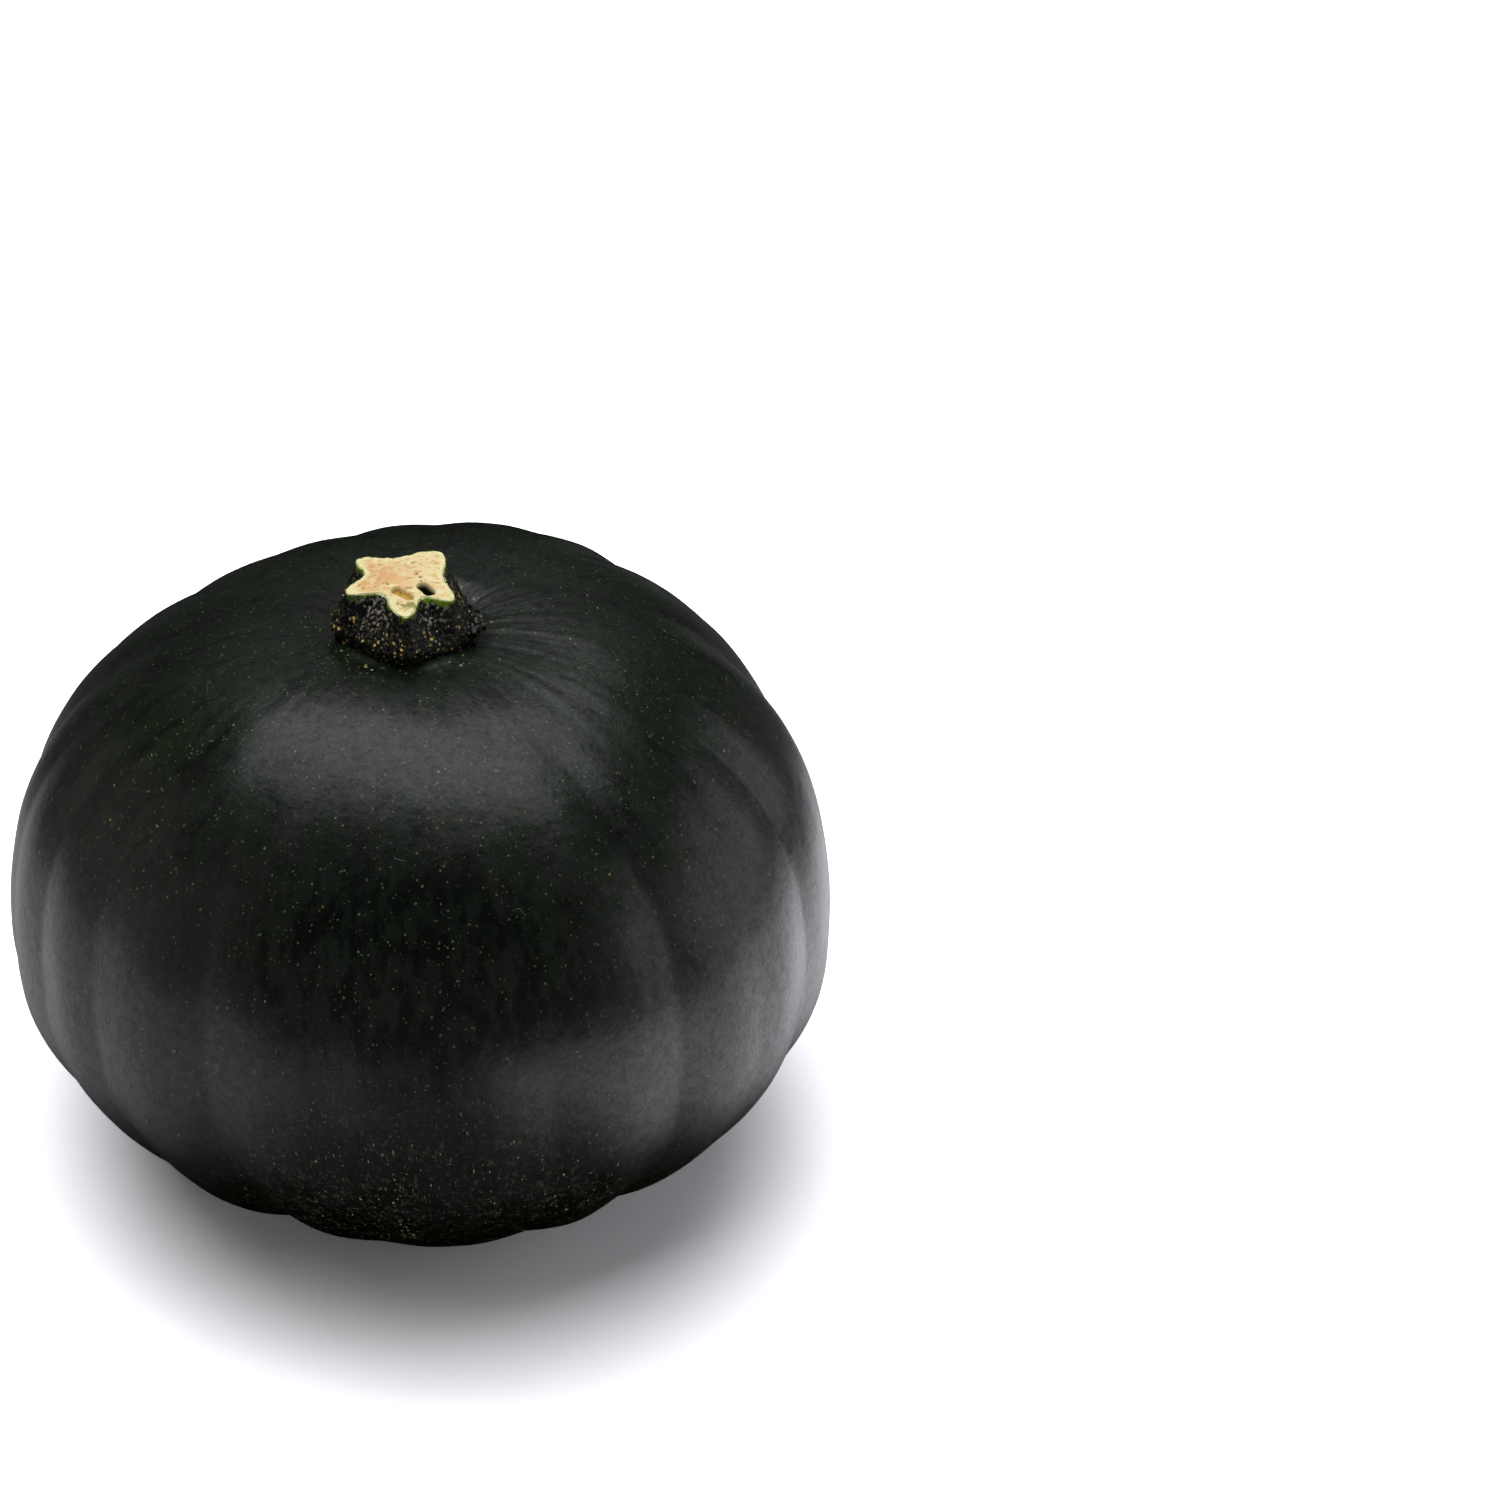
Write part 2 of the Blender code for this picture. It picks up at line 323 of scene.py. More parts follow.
def make_fruit(material):
    """The whole skin on a grid of bearings and turns: 90 is at the stalk and -90 at the blossom end."""
    given = start_tree(
        "fruit_body",
        {
            "Columns": "NodeSocketInt",
            "Rings": "NodeSocketInt",
            "Body Radius": "NodeSocketFloat",
            "Waist Height": "NodeSocketFloat",
            "Shoulder Height": "NodeSocketFloat",
            "Lump Height": "NodeSocketFloat",
            "Ripple Height": "NodeSocketFloat",
            "Wrinkle Height": "NodeSocketFloat",
        },
    )
    body_radius = given["Body Radius"]
    waist = given["Waist Height"]
    shape = waist.node(
        "GeometryNodeMeshGrid",
        None,
        {"Size X": 360.0, "Size Y": 180.0, "Vertices X": given["Columns"], "Vertices Y": given["Rings"]},
    )
    flat = shape.node("GeometryNodeInputPosition")
    line = part_of(flat, "X")
    turn = part_of(flat, "Y")
    above = turn > 0.0

    # The crest line, before the grooves.
    across = cosine(turn).math("MAXIMUM", cosine(turn), 0.0)
    climb = sine(turn)
    bearing = line - DRAW_ANGLE * sine(line - DRAW_BEARING) * (1.0 - ease(turn, *DRAW_TURNS))
    full = body_radius + BODY_OVAL * cosine(2.0 * (bearing - OVAL_BEARING))
    power = 2.0 / (LOWER_ROUNDNESS + (UPPER_ROUNDNESS - LOWER_ROUNDNESS) * ease(turn, *ROUNDNESS_TURNS))
    radius = full * across ** power
    lean = SHOULDER_LEAN * cosine(bearing - LEAN_BEARING)
    lean = lean + SHOULDER_SADDLE * cosine(2.0 * (bearing - SADDLE_BEARING))
    shoulder = given["Shoulder Height"] + lean * (1.0 - hill(radius, SHOULDER_FADE))
    rise = pick(above, waist + FOOT_TRIM, shoulder - waist)
    height = waist + rise * climb.math("SIGN", climb) * abs(climb) ** power
    height = height - DISH_DEPTH * hill(radius, DISH_RADIUS) * above
    seat = given["Shoulder Height"] - DISH_DEPTH * math.exp(-((SEAT_RADIUS / DISH_RADIUS) ** 2))
    levelled = (1.0 - ease(radius, SEAT_RADIUS, SEAT_RADIUS + SEAT_BLEND)) * above
    height = height + (seat - height) * levelled
    below = 1.0 - above
    height = height + HOLLOW_DEPTH * hill(radius, HOLLOW_RADIUS) * below
    height = height - SCAR_RISE * (1.0 - ease(radius, *SCAR_EDGE)) * below

    # The grooves, pressed in square to the crest line.
    out = across / full
    up = climb / rise
    depth = groove_depth(line, turn, radius, above)
    inwards = depth / length_of(out, up)
    towards_pole = (1.0 - radius / full) ** 2.0
    radius = radius - inwards * out
    height = height - inwards * up
    x = radius * sine(bearing) + pick(above, SCAR_PLACE[0], STALK_PLACE[0]) * towards_pole
    y = pick(above, SCAR_PLACE[1], STALK_PLACE[1]) * towards_pole - radius * cosine(bearing)

    # What the skin's patterns follow: round the fruit at its full width, and down each of its lines.
    grain = vector_of(BODY_RADIUS * sine(line), -BODY_RADIUS * cosine(line), turn * ARC_PER_DEGREE)
    shape = store(shape, "grain", "FLOAT_VECTOR", grain)
    shape = place_at(shape, vector_of(x, y, height))
    shape = shape.node("GeometryNodeMergeByDistance", None, {"Geometry": shape, "Distance": WELD})

    # Lumps, ripples along the lobes, wrinkles round the stalk, and the narrow moat that its foot stands in.
    place = shape.node("GeometryNodeInputPosition")
    grain = stored(shape, "grain", "FLOAT_VECTOR")
    from_stalk = length_of(part_of(place, "X") - STALK_PLACE[0], part_of(place, "Y") - STALK_PLACE[1])
    on_top = part_of(place, "Z") > WAIST_HEIGHT
    relief = swing(place, LUMP[1], given["Lump Height"])
    relief = relief + swing(stretched(grain, 1.0, 1.0, 0.35), RIPPLE[1], given["Ripple Height"])
    folds = abs(noise(stretched(grain, 1.0, 1.0, 0.16), WRINKLE[1], 3.0) - 0.5) * 4.0 - 0.5
    relief = relief + folds * given["Wrinkle Height"] * ease(from_stalk, *WRINKLE_FADE) * on_top
    relief = relief - MOAT[0] * hill(from_stalk - MOAT[1], MOAT[2]) * on_top
    shape = nudge(shape, scaled(shape.node("GeometryNodeInputNormal"), relief))

    # What would lie under the ground is pressed flat, and the whole is moved to the solid's place.
    place = shape.node("GeometryNodeInputPosition")
    height = part_of(place, "Z")
    pressed = vector_of(part_of(place, "X"), part_of(place, "Y"), height.math("MAXIMUM", height, 0.0))
    shape = place_at(shape, pressed)
    sizes = {
        "Columns": COLUMNS + 1,
        "Rings": RINGS,
        "Body Radius": BODY_RADIUS,
        "Waist Height": WAIST_HEIGHT,
        "Shoulder Height": SHOULDER_HEIGHT,
        "Lump Height": LUMP[0],
        "Ripple Height": RIPPLE[0],
        "Wrinkle Height": WRINKLE[0],
    }
    return grow("skin", shape, sizes, material)


def middle_of(low, high):
    return Vector(((low.x + high.x) / 2.0, (low.y + high.y) / 2.0, 0.0))


def box_of(made):
    """Lowest and highest corner of an object's mesh."""
    corners = [Vector(corner) for corner in made.bound_box]
    low = Vector(min(corner[axis] for corner in corners) for axis in range(3))
    high = Vector(max(corner[axis] for corner in corners) for axis in range(3))
    return low, high


def linear(red, green, blue):
    """A colour given as a screen shows it, 0 to 255, as the linear light that a shader takes."""
    return tuple((value / 255.0) ** 2.2 for value in (red, green, blue))


DEEP_SKIN = linear(13, 18, 12)
GREEN_SKIN = linear(20, 29, 17)
# Grey of the wax bloom, which also paints the belly's sheen.
BLOOM_AND_SHEEN_SKIN = linear(32, 32, 32)
BLACK_SKIN = linear(7, 10, 9)
SKIN_ROUGHNESS = 0.32
SKIN_IOR = 1.34
WAX_ROUGHNESS = 0.28
WAX_SHEEN = (0.05, 0.42)

# Clouds in the rind's colour and wax, each with its size, its detail, the levels where it starts and is full,
# and where it matters its roughness.
GREEN_CLOUDS = (42.0 * MM, 4.0, 0.36, 0.66)
GREEN_STREAKS = (12.0 * MM, 4.0, 0.38, 0.68)
DARK_STREAKS = (7.0 * MM, 5.0, 0.52, 0.64)
DARK_BLOTS = (3.2 * MM, 5.0, 0.42, 0.58, 0.6)
WAX_GRAIN = (0.8 * MM, 3.0, 0.36, 0.64)
WAX_LEVELS = (0.38, 0.62)
RUBBED = (9.0 * MM, 6.0, 0.65)
MOTTLE = (2.2 * MM, 3.0)

# The skin's fine bumps: size, height and detail of its grain, its peel and its strands, and how far from the
# stalk the strands start and are full.
SKIN_GRAIN = (0.9 * MM, 0.025 * MM, 3.0)
SKIN_PEEL = (3.2 * MM, 0.055 * MM, 2.0)
SKIN_STRANDS = (2.4 * MM, 0.015 * MM, 2.0)
STRANDS_FROM_STALK = (18.0 * MM, 48.0 * MM)

# The pale flecks: cell size, least and most radius, share of cells with one, and the dim and bright colour.
FINE_FLECKS = (0.84 * MM, (0.12 * MM, 0.32 * MM), 0.92, linear(26, 31, 21), linear(70, 77, 44))
BOLD_FLECKS = (2.2 * MM, (0.18 * MM, 0.38 * MM), 0.40, linear(52, 60, 33), linear(100, 106, 56))
FLECK_STRETCH = 0.8
FLECK_RAGGED = (0.5 * MM, 0.22 * MM)

# The rows that the flecks fall into: each row's bearing at the waist, and how far it leans with each turn.
FLECK_ROWS = ((-70.0, 0.25), (2.0, 0.03))
FLECK_ROW_WIDTH = 1.0

# The grey bloom on the belly, which is partly a painted sheen where the belly mirrors the room: the turns
# where it ends and where it is full, above and below the waist, and how far its edges wander.
BLOOM_AND_SHEEN_TOP = (56.0, 24.0)
BLOOM_AND_SHEEN_FOOT = (-28.0, 8.0)
BLOOM_AND_SHEEN_WANDER = 60.0

# Where the skin differs: the dark patch on the front shoulder, which is partly dark mottled skin and partly
# painted shade where the shoulder mirrors the dark front of the room, the netted skin low down in front, the
# pale spot in it, and the crumbs of bark in the stalk's seat. Each: its middle, and its half widths or
# radius. A patch's edge starts and is full at these shares of its half widths.
PATCH_EDGE = (1.15, 0.55)
DARK_PATCH_AND_SHADE = ((-1.0, 32.0), (31.0, 21.0))
NETTED = ((4.0, -24.0), (38.0, 38.0))
NET_COLOUR = linear(96, 86, 62)
NET_BRIGHT = linear(168, 162, 122)
NET_LINES = (2.0 * MM, 5.0, 0.7)
NET_LINE_WIDTH = (0.020, 0.004)
NET_BREAKS = (1.3 * MM, 4.0, 0.50, 0.60)
NET_RAGGED = (0.4 * MM, 0.3 * MM)
NET_MARKS = (
    ((1.0, 1.0, 0.9), 1.25 * MM, (0.12 * MM, 0.32 * MM), 0.75),
    ((-1.0, 1.1, 0.7), 1.9 * MM, (0.15 * MM, 0.42 * MM), 0.6),
)
PALE_SPOT = ((9.0 * MM, -61.0 * MM, 14.5 * MM), 4.0 * MM)
PALE_SPOT_COLOUR = linear(88, 96, 52)
SEAT_CRUMBS = (16.0 * MM, 1.3 * MM)
CRUMBS = (1.2 * MM, (0.18 * MM, 0.50 * MM), 0.5)
CRUMB_HEAPS = (9.0 * MM, 2.0, 0.4, 0.6)
CRUMB_COLOUR = linear(150, 146, 104)
CRUMBLED_EDGE = (3.0 * MM, 4.0)
SCAR_COLOUR = linear(104, 84, 54)
SCRATCHES = (0.7 * MM, 2.0, 0.73, 0.78)
SCRATCHED_PLACES = (9.0 * MM, 2.0, 0.50, 0.62)
SCRATCH_COLOUR = linear(120, 124, 108)


def blend(mask, under, over):
    """A colour: under where the mask is 0, and over where it is 1."""
    under, over = (c if isinstance(c, Wire) else (*c, 1.0) for c in (under, over))
    return mask.node("ShaderNodeMix", {"data_type": "RGBA"}, {0: mask, 6: under, 7: over}, 2)


def start_material(name):
    """An empty material, and a Wire to build its nodes from."""
    material = bpy.data.materials.new(name)
    material.use_nodes = True
    material.node_tree.nodes.clear()
    return material, Wire(material.node_tree)


def finish_material(shader):
    shader.node("ShaderNodeOutputMaterial", None, {"Surface": shader})


def flecks(vector, cell, radius, share):
    """Round spots, one in a share of the cells: the mask, and a random number for each spot."""
    sockets = {"Vector": vector, "Scale": 1.0 / cell}
    distance = vector.node("ShaderNodeTexVoronoi", None, sockets, "Distance")
    chance = distance.beside("Color")
    size = radius[0] + (radius[1] - radius[0]) * part_of(chance, "Y") ** 2.0
    mask = ease(distance * cell, size, size * 0.45) * (part_of(chance, "X") < share)
    return mask, part_of(chance, "Z")


def ragged(vector, size, reach):
    """The vector, shifted here and there, so that what follows it has uneven edges."""
    sockets = {"Vector": vector, "Scale": 1.0 / size, "Detail": 3.0}
    cloud = vector.node("ShaderNodeTexNoise", None, sockets, "Color")
    cloud = cloud.node("ShaderNodeVectorMath", {"operation": "SUBTRACT"}, {0: cloud, 1: (0.5, 0.5, 0.5)})
    shift = scaled(cloud, 2.0 * reach)
    return vector.node("ShaderNodeVectorMath", {"operation": "ADD"}, {0: vector, 1: shift})


def clouds(vector, size, detail, low, high, roughness=0.5):
    """Clouds of noise: 0 between them, from the low level on, and 1 inside them, past the high one."""
    return ease(noise(vector, size, detail, roughness), low, high)


def drawn_out(grain, squeeze):
    """The grain, squeezed along the lobes by this share, which draws its patterns out along them."""
    return stretched(grain, 1.0, 1.0, squeeze)


def patch(bearing, turn, middle, widths):
    """A soft-edged patch of the skin, by bearing and turn: 1 in its middle and 0 outside it."""
    away = length_of((bearing - middle[0]) / widths[0], (turn - middle[1]) / widths[1])
    return ease(away, *PATCH_EDGE)


def make_rind():
    material, start = start_material("rind")
    place = start.node("ShaderNodeTexCoord", output="Object")
    grain = start.node("ShaderNodeAttribute", {"attribute_name": "grain"}, output="Vector")
    green = clouds(place, *GREEN_CLOUDS) * 0.6 + clouds(drawn_out(grain, 0.25), *GREEN_STREAKS) * 0.3
    colour = blend(green, DEEP_SKIN, GREEN_SKIN)
    colour = blend(clouds(drawn_out(grain, 0.5), *DARK_STREAKS) * 0.85, colour, BLACK_SKIN)
    x = part_of(place, "X")
    y = part_of(place, "Y")
    z = part_of(place, "Z")
    bearing = x.math("ARCTAN2", x, 0.0 - y) * math.degrees(1.0)
    turn = part_of(grain, "Z") / ARC_PER_DEGREE

    # The grey bloom, partly a painted sheen on the belly, rubbed off in patches, and the dark patch that has
    # none, which is partly painted shade.
    dark_and_shaded = patch(bearing, turn, *DARK_PATCH_AND_SHADE)
    blots = clouds(drawn_out(grain, 0.45), *DARK_BLOTS)
    rubbed = noise(place, *RUBBED)
    wander = (rubbed - 0.5) * BLOOM_AND_SHEEN_WANDER
    # Painted sheen: the grey is laid in a band of turns round the belly.
    bloom_and_sheen = ease(turn + wander, *BLOOM_AND_SHEEN_TOP) * ease(turn + wander, *BLOOM_AND_SHEEN_FOOT) * (0.45 + rubbed)
    colour = blend(bloom_and_sheen * (1.0 - dark_and_shaded * (0.7 + 0.3 * blots)), colour, BLOOM_AND_SHEEN_SKIN)
    # Painted shade: the front shoulder is blackened where it mirrors the dark front of the room.
    colour = blend(dark_and_shaded * blots * 0.8, colour, BLACK_SKIN)

    # The flecks, brighter where they fall into rows.
    rows = 0.0
    for row_bearing, lean in FLECK_ROWS:
        rows = ease(abs(bearing - row_bearing - turn * lean), FLECK_ROW_WIDTH, FLECK_ROW_WIDTH / 3.0) + rows
    uneven = ragged(stretched(place, 1.0, 1.0, FLECK_STRETCH), *FLECK_RAGGED)
    for cell, radius, share, dim, bright in (FINE_FLECKS, BOLD_FLECKS):
        speck, chance = flecks(uneven, cell, radius, share)
        colour = blend(speck, colour, blend(ease(chance, 0.3, 1.0) + rows, dim, bright))

    # Net marks and a pale spot low down in front, fine scratches all over.
    netted = patch(bearing, turn, *NETTED)
    along = drawn_out(grain, 0.6)
    lines = ease(abs(noise(along, *NET_LINES) - 0.5), *NET_LINE_WIDTH)
    lines = lines * clouds(along, *NET_BREAKS)
    colour = blend(lines * netted * 0.8, colour, NET_COLOUR)
    for shift, cell, radius, share in NET_MARKS:
        speck, chance = flecks(ragged(stretched(along, *shift), *NET_RAGGED), cell, radius, share)
        colour = blend(speck * netted, colour, blend(chance, BOLD_FLECKS[3], NET_BRIGHT))
    scratch = clouds(stretched(place, 1.0, 0.18, 1.0), *SCRATCHES) * clouds(place, *SCRATCHED_PLACES)
    colour = blend(scratch * 0.7, colour, SCRATCH_COLOUR)
    (spot_x, spot_y, spot_z), spot_radius = PALE_SPOT
    from_spot = length_of(length_of(x - spot_x, y - spot_y), z - spot_z) / spot_radius
    crumbled = noise(place, *CRUMBLED_EDGE) - 0.5
    colour = blend(ease(from_spot + crumbled * 1.2, 1.0, 0.5) * 0.6, colour, PALE_SPOT_COLOUR)

    # Crumbs in the seat of the stalk, and cork on the blossom scar.
    upper = z > WAIST_HEIGHT
    from_stalk = length_of(x - STALK_PLACE[0], y - STALK_PLACE[1])
    crumbs, _ = flecks(place, *CRUMBS)
    crumbs = crumbs * hill(from_stalk - SEAT_CRUMBS[0], SEAT_CRUMBS[1]) * upper
    crumbs = crumbs * clouds(place, *CRUMB_HEAPS)
    colour = blend(crumbs * 0.9, colour, CRUMB_COLOUR)
    from_scar = length_of(x - SCAR_PLACE[0], y - SCAR_PLACE[1]) + crumbled * (3.0 * MM)
    cork = ease(from_scar, SCAR_EDGE[1], SCAR_EDGE[0]) * (1.0 - upper)
    colour = blend(cork, colour, blend(noise(place, 0.8 * MM, 4.0), SCAR_COLOUR, DEEP_SKIN))

    # The wax's sheen, dulled in mottles, in the dark patch and by cork, and the skin's own grain.
    mottle = noise(place, *MOTTLE)
    wax = (ease(mottle, *WAX_LEVELS) + clouds(place, *WAX_GRAIN)) * 0.5
    wax = pick(wax, *WAX_SHEEN) * (1.0 - dark_and_shaded * (0.45 + 0.4 * blots)) * (1.0 - cork)
    roughness = SKIN_ROUGHNESS + (mottle - 0.5) * 0.20 + (rubbed - 0.5) * 0.12 + cork * 0.4
    strands = swing(drawn_out(grain, 0.12), *SKIN_STRANDS) * ease(from_stalk, *STRANDS_FROM_STALK)
    peel = swing(place, *SKIN_GRAIN) + swing(place, *SKIN_PEEL) + strands
    bump = peel.node("ShaderNodeBump", None, {"Strength": 1.0, "Distance": 1.0, "Height": peel})
    shader = start.node(
        "ShaderNodeBsdfPrincipled",
        None,
        {
            "Base Color": colour,
            "Roughness": roughness,
            "Normal": bump,
            "IOR": SKIN_IOR,
            "Coat Weight": wax,
            "Coat Roughness": WAX_ROUGHNESS,
        },
    )
    finish_material(shader)
    return material


skin = make_fruit(make_rind())
skin_low, skin_high = box_of(skin)
fruit_shift = middle_of(*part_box("fruit")) - middle_of(skin_low, skin_high)
skin.data.transform(Matrix.Translation(fruit_shift))
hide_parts("fruit")
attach(skin, "root")


# The stalk
# The stump that was left on the fruit: a five-cornered stem of fibrous flesh under dark corky bark, swollen
# where it grows out of the fruit. A knife cut it across, which left a pale, pitted and slightly torn face.

CUT_OUTLINE = (
    (2.0, 11.6 * MM),
    (34.0, 6.4 * MM),
    (58.0, 11.3 * MM),
    (100.0, 8.0 * MM),
    (146.0, 12.5 * MM),
    (191.0, 8.6 * MM),
    (232.0, 12.2 * MM),
    (252.0, 8.4 * MM),
    (288.0, 12.0 * MM),
    (314.0, 6.0 * MM),
)
CORNER_SHARPNESS = 1.55
STALK_HEIGHT = 10.2 * MM
CUT_SLANT = 3.0
FOOT_RADIUS = 14.7 * MM
FOOT_RIB_SHARE = 0.28
FOOT_BULGE_HEIGHT = 2.0 * MM
FOOT_SINK = 1.1 * MM
UNDERSIDE_RADIUS = 12.8 * MM
STALK_TAPER = (-0.25, 1.15)
MEAN_CUT = sum(radius for _, radius in CUT_OUTLINE) / len(CUT_OUTLINE)
STALK_COLUMNS = 264
CUT_ROWS = 58
SIDE_ROWS = 62
FOOT_ROWS = 22

# The pit torn out in front of the cut's middle, and the dark hole beside it: the two ends of each, from the
# stalk's axis, its half width and its depth.
PIT = ((-1.4 * MM, -3.3 * MM), (0.9 * MM, -5.3 * MM), 1.15 * MM, 1.1 * MM)
HOLE = ((3.7 * MM, -1.9 * MM), (5.0 * MM, -3.6 * MM), 1.15 * MM, 2.6 * MM)

# The cut's relief: height and size of its waves, its grain and its fibre pits.
CUT_WAVE = (0.35 * MM, 5.0 * MM)
CUT_GRAIN = (0.26 * MM, 1.5 * MM)
FIBRE_PIT = (0.45 * MM, 1.25 * MM, (0.18 * MM, 0.48 * MM), 0.65)
CUT_LIP = 0.3 * MM
RIM_ROUND = 0.135 * MM
RIM_WANDER = (1.3 * MM, 0.5 * MM)

# The bark's relief: its fibres up and down, its lumps, and the warts near the foot.
BARK_FIBRE = (0.30 * MM, 1.3 * MM)
BARK_LUMP = (0.40 * MM, 4.0 * MM)
WART = (0.50 * MM, 1.9 * MM, (0.35 * MM, 0.85 * MM), 0.8)
WART_LEVELS = (0.62, 0.25)

# Where each relief starts and is full. A station is 0 in the cut's middle, 1 at its rim, 2 at the foot's
# bulge and 4 in the middle of the underside.
CUT_STATIONS = (1.0, 0.93)
BARK_STATIONS = (1.0, 1.12)
RIM_STATIONS = (0.06, 0.0)


def star(bearing):
    """The cut's outline, from each corner to the notch after it and back, with sharp corners."""
    first, start = CUT_OUTLINE[0]
    turned = bearing.math("WRAP", bearing, first + 360.0, first)
    radius = start
    for here, after in zip(CUT_OUTLINE, CUT_OUTLINE[1:] + ((first + 360.0, start),)):
        gone = ease(turned, here[0], after[0])
        sharp = 1.0 - (1.0 - gone) ** CORNER_SHARPNESS if after[1] < here[1] else gone ** CORNER_SHARPNESS
        radius = radius + (after[1] - here[1]) * sharp
    return radius


def from_slot(x, y, slot):
    """How far a point lies from the line between a slot's two ends."""
    (x0, y0), (x1, y1) = slot[:2]
    run = (x1 - x0, y1 - y0)
    reach = ((x - x0) * run[0] + (y - y0) * run[1]) / (run[0] ** 2 + run[1] ** 2)
    share = reach.math("MINIMUM", reach.math("MAXIMUM", reach, 0.0), 1.0)
    return length_of(x - x0 - share * run[0], y - y0 - share * run[1])


def band(columns, rows, start):
    """A flat grid whose X is the bearing, 0 to 360, and whose Y runs from 0 to 1, with both as Wires."""
    sizes = {"Size X": 360.0, "Size Y": 1.0, "Vertices X": columns, "Vertices Y": rows}
    shape = start.node("GeometryNodeMeshGrid", None, sizes)
    flat = shape.node("GeometryNodeInputPosition")
    return shape, part_of(flat, "X") + 180.0, part_of(flat, "Y") + 0.5


def lay_band(shape, bearing, radius, height, station, level):
    """Rolls a flat grid up round the stalk's axis, and keeps what its material needs to know."""
    x = radius * sine(bearing)
    y = 0.0 - radius * cosine(bearing)
    slanted = height + level * y * math.tan(math.radians(CUT_SLANT))
    shape = store(shape, "spot", "FLOAT_VECTOR", vector_of(x, y, height))
    shape = store(shape, "station", "FLOAT", station)
    return place_at(shape, vector_of(x, y, slanted))


def pits(vector, cell, radius, share):
    """Round pits or warts in a share of the cells: 1 in the middle of each and 0 outside."""
    return flecks(vector, cell, radius, share)[0]


def side_radius(foot_radius, rim, level):
    """The side's radius at a level from 0, at the foot's bulge, to 1, at the rim."""
    foot = foot_radius + FOOT_RIB_SHARE * (rim - MEAN_CUT)
    return foot + (rim - foot) * ease(level, *STALK_TAPER)


def make_stalk(material):
    given = start_tree(
        "stalk_stump",
        {
            "Columns": "NodeSocketInt",
            "Cut Rows": "NodeSocketInt",
            "Side Rows": "NodeSocketInt",
            "Foot Rows": "NodeSocketInt",
            "Height": "NodeSocketFloat",
            "Foot Radius": "NodeSocketFloat",
            "Wart Height": "NodeSocketFloat",
        },
    )
    columns = given["Columns"]
    height = given["Height"]
    foot_radius = given["Foot Radius"]

    # The cut face, from its middle out to the rim.
    cut, bearing, rise = band(columns, given["Cut Rows"], columns)
    share = 1.0 - rise
    lifted = height + CUT_LIP * (1.0 - share ** 6.0)
    cut = lay_band(cut, bearing, share * star(bearing), lifted, share, 1.0)

    # The side, from the bulge of the foot up to the rim.
    side, bearing, level = band(columns, given["Side Rows"], columns)
    radius = side_radius(foot_radius, star(bearing), level)
    tall = FOOT_BULGE_HEIGHT + (height - FOOT_BULGE_HEIGHT) * level
    side = lay_band(side, bearing, radius, tall, 2.0 - level, level)

    # The rounded foot, and the underside that is sunk into the fruit.
    under, bearing, rise = band(columns, given["Foot Rows"], columns)
    drop = 2.0 * (1.0 - rise)
    foot = side_radius(foot_radius, star(bearing), rise * 0.0)
    arc = drop.math("MINIMUM", drop, 1.0) * 90.0
    inner = drop.math("MAXIMUM", drop - 1.0, 0.0)
    radius = (UNDERSIDE_RADIUS + (foot - UNDERSIDE_RADIUS) * cosine(arc)) * (1.0 - inner)
    low = FOOT_BULGE_HEIGHT - (FOOT_BULGE_HEIGHT + FOOT_SINK) * sine(arc)
    under = lay_band(under, bearing, radius, low, 2.0 + drop, 0.0)

    shape = side.node("GeometryNodeJoinGeometry")
    for piece in (cut, side, under):
        shape.tree.links.new(piece.socket, shape.socket.node.inputs["Geometry"])
    shape = shape.node("GeometryNodeMergeByDistance", None, {"Geometry": shape, "Distance": WELD})

    # Relief: pits, grain and the torn places on the cut, and fibres, lumps and warts on the bark.
    spot = stored(shape, "spot", "FLOAT_VECTOR")
    station = stored(shape, "station", "FLOAT")
    x = part_of(spot, "X")
    y = part_of(spot, "Y")
    on_cut = ease(station, *CUT_STATIONS)
    face = swing(spot, CUT_WAVE[1], CUT_WAVE[0]) + swing(spot, CUT_GRAIN[1], CUT_GRAIN[0], 3.0)
    face = face - FIBRE_PIT[0] * pits(spot, *FIBRE_PIT[1:])
    for slot in (PIT, HOLE):
        face = face - slot[3] * ease(from_slot(x, y, slot), slot[2] * 1.25, slot[2] * 0.5)
    bark = swing(stretched(spot, 1.0, 1.0, 0.3), BARK_FIBRE[1], BARK_FIBRE[0], 3.0)
    bark = bark + swing(spot, BARK_LUMP[1], BARK_LUMP[0], 2.0)
    low_down = ease(2.0 - station, *WART_LEVELS)
    bark = bark + given["Wart Height"] * pits(spot, *WART[1:]) * low_down
    on_bark = ease(station, *BARK_STATIONS)
    edge = ease(abs(station - 1.0), *RIM_STATIONS)
    frayed = swing(spot, *RIM_WANDER) - RIM_ROUND
    relief = face * on_cut + bark * on_bark + frayed * edge
    shape = nudge(shape, scaled(shape.node("GeometryNodeInputNormal"), relief))
    sizes = {
        "Columns": STALK_COLUMNS + 1,
        "Cut Rows": CUT_ROWS,
        "Side Rows": SIDE_ROWS,
        "Foot Rows": FOOT_ROWS,
        "Height": STALK_HEIGHT,
        "Foot Radius": FOOT_RADIUS,
        "Wart Height": WART[0],
    }
    return grow("stump", shape, sizes, material)


